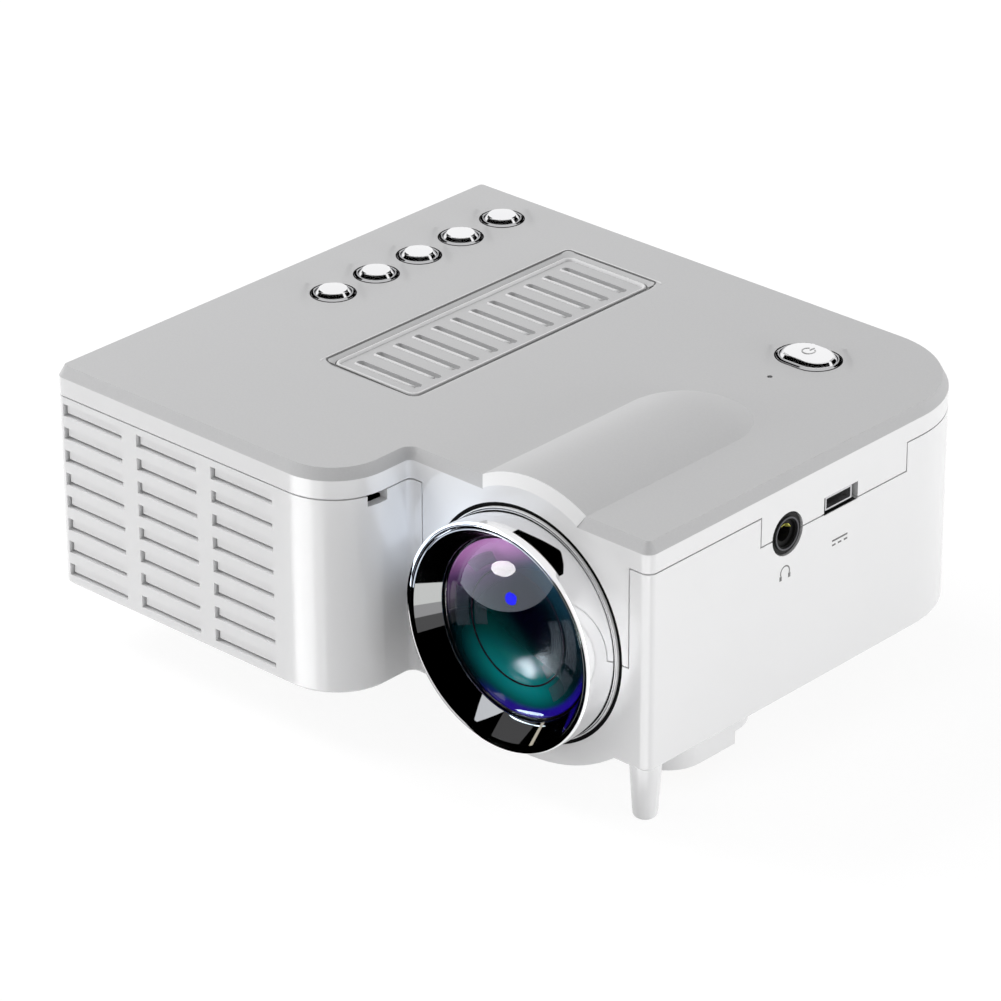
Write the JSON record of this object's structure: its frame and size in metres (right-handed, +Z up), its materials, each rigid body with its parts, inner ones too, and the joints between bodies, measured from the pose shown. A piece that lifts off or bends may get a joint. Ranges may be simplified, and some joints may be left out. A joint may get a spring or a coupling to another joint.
{
  "type": "palm-size projector",
  "caption": "Palm-size LED projector: white case with grille block, grey bevelled cover with dome over the lens, chrome focus ring, round chrome keys, oval power key, legs and tripod pad.",
  "frame": {"origin": "on the table under the middle of the object's box, at the height of the leg tips", "axes": "+X to the side with the headphone jack and power inlet, -Y out of the lens, +Z up"},
  "size_m": [0.132, 0.118, 0.0603],
  "materials": {
    "cover_grey": "fine matte, light grey",
    "case_white": "gloss white",
    "chrome": "bright chrome plate",
    "black_chrome": "black chrome plate",
    "coated_glass": "multi-coated, violet and teal reflections",
    "clear_glass": "clear",
    "black_plastic": "matte black",
    "brass": "turned",
    "steel": "bright",
    "board_green": "solder mask",
    "aluminium": "extruded",
    "amber_film": "flexible film",
    "led_yellow": "clear dome over phosphor",
    "foam": "foam",
    "mirror": "front-silvered",
    "lead_red": "insulated lead",
    "lead_black": "insulated lead",
    "panel_dark": "liquid crystal cell in a frame"
  },
  "bodies": {
    "housing": {"top_cover": "cover_grey", "bottom_case": "case_white", "tripod_insert": "brass", "case_screws": "steel", "lens_tube": "black_plastic", "key_surrounds": "chrome", "power_surround": "chrome", "pilot_light_pipe": "clear_glass", "key_board": "board_green", "key_switches": "black_plastic", "power_board": "board_green", "power_switch": "black_plastic", "pilot_led": "led_yellow", "main_board": "board_green", "main_chips": "black_plastic", "video_socket": "steel", "usb_socket": "steel", "av_jack": "black_plastic", "card_socket": "steel", "port_board": "board_green", "headphone_jack": "black_plastic", "power_inlet": "steel", "infrared_receiver": "black_plastic", "speaker_frame": "steel", "speaker_cone": "foam", "speaker_gasket": "foam", "fan_frame": "black_plastic", "heat_sink": "aluminium", "led_board": "aluminium", "led_chip": "led_yellow", "condenser_lens": "clear_glass", "light_box": "black_plastic", "light_box_lid": "black_plastic", "field_lens_in": "clear_glass", "lcd_panel": "panel_dark", "field_lens_out": "clear_glass", "fold_mirror": "mirror", "panel_ribbon": "amber_film", "board_screws": "steel", "engine_screws": "steel", "fan_lead": "lead_red", "speaker_lead": "lead_black", "led_lead": "lead_red", "port_lead": "lead_black", "key_lead": "lead_black"},
    "lens_carriage": {"lens_barrel": "black_plastic", "lens_hood": "black_chrome", "front_lens": "coated_glass", "middle_lens": "clear_glass", "lens_spacer": "black_plastic", "rear_lens": "clear_glass", "lens_retainer": "black_plastic"},
    "focus_ring": {"focus_ring": "chrome"},
    "fan_rotor": {"fan_rotor": "black_plastic"},
    "power_key": {"power_key": "chrome"},
    "key_1": {"key_1": "chrome"},
    "key_2": {"key_2": "chrome"},
    "key_3": {"key_3": "chrome"},
    "key_4": {"key_4": "chrome"},
    "key_5": {"key_5": "chrome"}
  },
  "joints": [
    {"name": "focus_travel", "type": "slide", "parent": "housing", "child": "lens_carriage", "axis": [0, -1, 0], "range_m": [-0.003, 0.003]},
    {"name": "focus_turn", "type": "hinge", "parent": "lens_carriage", "child": "focus_ring", "pos_m": [0.0364, -0.0477, 0.031], "axis": [0, -1, 0], "range_deg": [-180, 180]},
    {"name": "fan_spin", "type": "hinge", "parent": "housing", "child": "fan_rotor", "pos_m": [-0.0592, 0.0325, 0.0306], "axis": [1, 0, 0], "continuous": true},
    {"name": "key_1_press", "type": "slide", "parent": "housing", "child": "key_1", "axis": [0, 0, -1], "range_m": [0, 0.0004], "stiffness_N_per_m": 2500, "springref_m": -0.0002},
    {"name": "key_2_press", "type": "slide", "parent": "housing", "child": "key_2", "axis": [0, 0, -1], "range_m": [0, 0.0004], "stiffness_N_per_m": 2500, "springref_m": -0.0002},
    {"name": "key_3_press", "type": "slide", "parent": "housing", "child": "key_3", "axis": [0, 0, -1], "range_m": [0, 0.0004], "stiffness_N_per_m": 2500, "springref_m": -0.0002},
    {"name": "key_4_press", "type": "slide", "parent": "housing", "child": "key_4", "axis": [0, 0, -1], "range_m": [0, 0.0004], "stiffness_N_per_m": 2500, "springref_m": -0.0002},
    {"name": "key_5_press", "type": "slide", "parent": "housing", "child": "key_5", "axis": [0, 0, -1], "range_m": [0, 0.0004], "stiffness_N_per_m": 2500, "springref_m": -0.0002},
    {"name": "power_key_press", "type": "slide", "parent": "housing", "child": "power_key", "axis": [0, 0, -1], "range_m": [0, 0.0004], "stiffness_N_per_m": 2500, "springref_m": -0.0002}
  ],
  "couplings": [
    {"joint": "focus_travel", "follows": "focus_turn", "m_per_rad": 0.000954}
  ]
}
